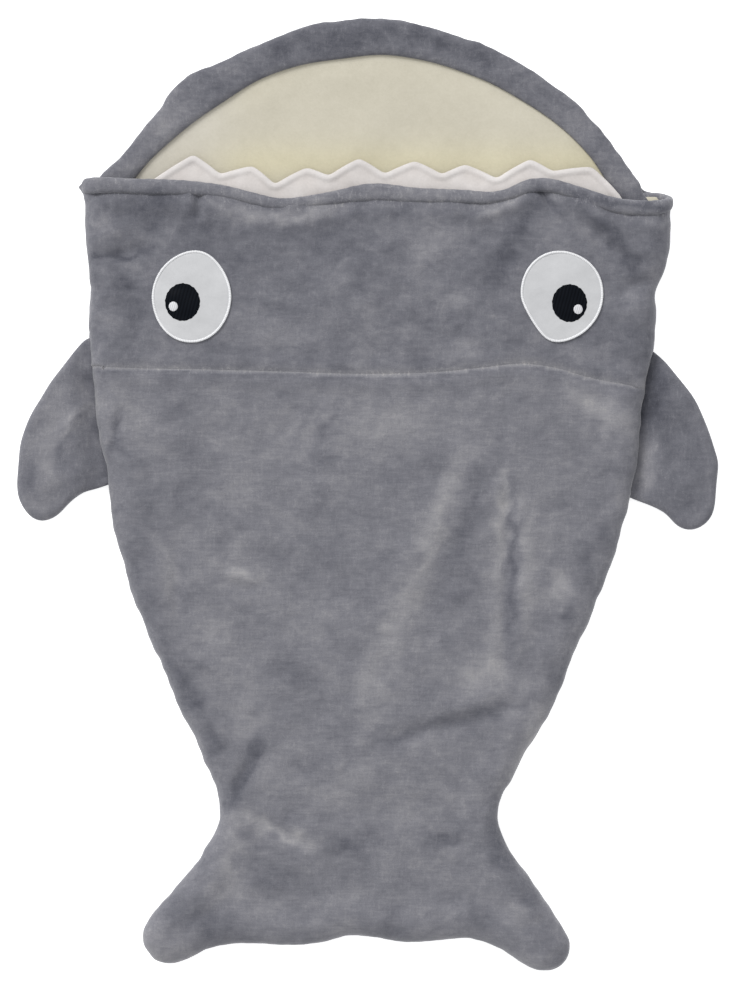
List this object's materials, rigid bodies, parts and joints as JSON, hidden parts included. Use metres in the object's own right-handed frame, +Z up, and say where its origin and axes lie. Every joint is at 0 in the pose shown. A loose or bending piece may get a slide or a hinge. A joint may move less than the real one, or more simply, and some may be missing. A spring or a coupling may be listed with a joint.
{
  "type": "plush shark sleeping bag",
  "caption": "Flat sewn plush bag in the shape of a shark: the open mouth takes a baby, with a hood above it, side fins and a forked tail.",
  "frame": {"origin": "on the ground, under the middle of the outline, with the bag lying on its back", "axes": "+X across the bag, +Y from the tail towards the crown of the hood, +Z up out of the face with the eyes"},
  "size_m": [0.662, 0.9, 0.0356],
  "materials": {
    "grey_plush": "short soft pile, brushed in patches",
    "cream_fleece": "smooth matt fleece",
    "white_plush": "short soft pile",
    "eye_white": "smooth matt felt",
    "white_thread": "satin stitch, slight sheen",
    "black_thread": "dense embroidery, slight sheen",
    "turned_in_edges": "folded plush edges sewn together",
    "polyester_wadding": "loose white fibre"
  },
  "bodies": {
    "bag": {"back_outer": "grey_plush", "back_wadding": "polyester_wadding", "back_lining": "cream_fleece", "belly_outer": "grey_plush", "belly_wadding": "polyester_wadding", "belly_lining": "cream_fleece", "side_seam_left": "turned_in_edges", "side_seam_right": "turned_in_edges", "waist_seam": "turned_in_edges", "binding_loop_left": "grey_plush", "binding_loop_right": "grey_plush"},
    "head": {"head_outer": "grey_plush", "head_wadding": "polyester_wadding", "head_lining": "cream_fleece", "mouth_binding": "grey_plush", "eye_white_left": "eye_white", "eye_white_right": "eye_white", "eye_stitching_left": "white_thread", "eye_stitching_right": "white_thread", "pupil_left": "black_thread", "pupil_right": "black_thread", "glint_left": "white_thread", "glint_right": "white_thread"},
    "teeth": {"teeth_top_ply": "white_plush", "teeth_under_ply": "white_plush"},
    "hood": {"hood_outer": "grey_plush", "hood_wadding": "polyester_wadding", "hood_edge_seam": "turned_in_edges", "hood_facing": "grey_plush", "hood_lining": "cream_fleece"},
    "fin_left": {"fin_left_top": "grey_plush", "fin_left_under": "grey_plush", "fin_left_filling": "polyester_wadding", "fin_left_root_seam": "turned_in_edges"},
    "fin_right": {"fin_right_top": "grey_plush", "fin_right_under": "grey_plush", "fin_right_filling": "polyester_wadding", "fin_right_root_seam": "turned_in_edges"},
    "tail": {"tail_top": "grey_plush", "tail_under": "grey_plush", "tail_filling": "polyester_wadding"}
  },
  "joints": [
    {"name": "mouth_open", "type": "hinge", "parent": "bag", "child": "head", "pos_m": [0, 0.114, 0.033], "axis": [1, 0, 0], "range_deg": [0, 24]},
    {"name": "teeth_flip", "type": "hinge", "parent": "head", "child": "teeth", "pos_m": [0, 0.2878, 0.024], "axis": [1, 0, 0], "range_deg": [-12, 90]},
    {"name": "hood_fold", "type": "hinge", "parent": "bag", "child": "hood", "pos_m": [0, 0.305, 0.026], "axis": [-1, 0, 0], "range_deg": [-170, 0]},
    {"name": "fin_left_fold", "type": "hinge", "parent": "bag", "child": "fin_left", "pos_m": [-0.26176, 0.07478, 0.006], "axis": [-0.1138, 0.9935, 0], "range_deg": [-90, 90]},
    {"name": "fin_right_fold", "type": "hinge", "parent": "bag", "child": "fin_right", "pos_m": [0.26176, 0.07478, 0.006], "axis": [-0.1138, -0.9935, 0], "range_deg": [-90, 90]},
    {"name": "tail_fold", "type": "hinge", "parent": "bag", "child": "tail", "pos_m": [0, -0.303, 0.033], "axis": [-1, 0, 0], "range_deg": [0, 135]}
  ]
}
